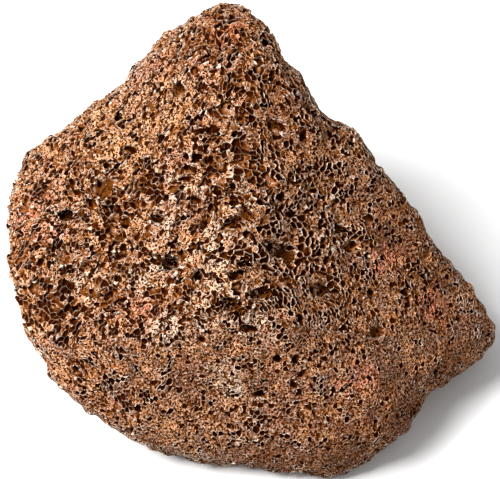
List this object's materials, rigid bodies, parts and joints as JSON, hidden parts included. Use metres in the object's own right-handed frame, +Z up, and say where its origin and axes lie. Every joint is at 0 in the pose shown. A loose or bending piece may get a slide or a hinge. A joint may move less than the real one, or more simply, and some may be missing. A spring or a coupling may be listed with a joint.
{
  "type": "lava rock",
  "caption": "Porous red-brown lava rock with a ridged, sloping face full of gas pockets and a flattened underside to rest on, for an aquarium, garden bed or hearth.",
  "frame": {"origin": "under the middle of the stone's box, on the surface that it rests on", "axes": "+Z up, +X along the stone's longest side, and the broad sloping face looks towards -Y and up"},
  "size_m": [0.1856, 0.1546, 0.1181],
  "materials": {
    "scoria": "matte, rough and porous"
  },
  "bodies": {
    "root": {"lava_rock": "scoria"}
  },
  "joints": []
}
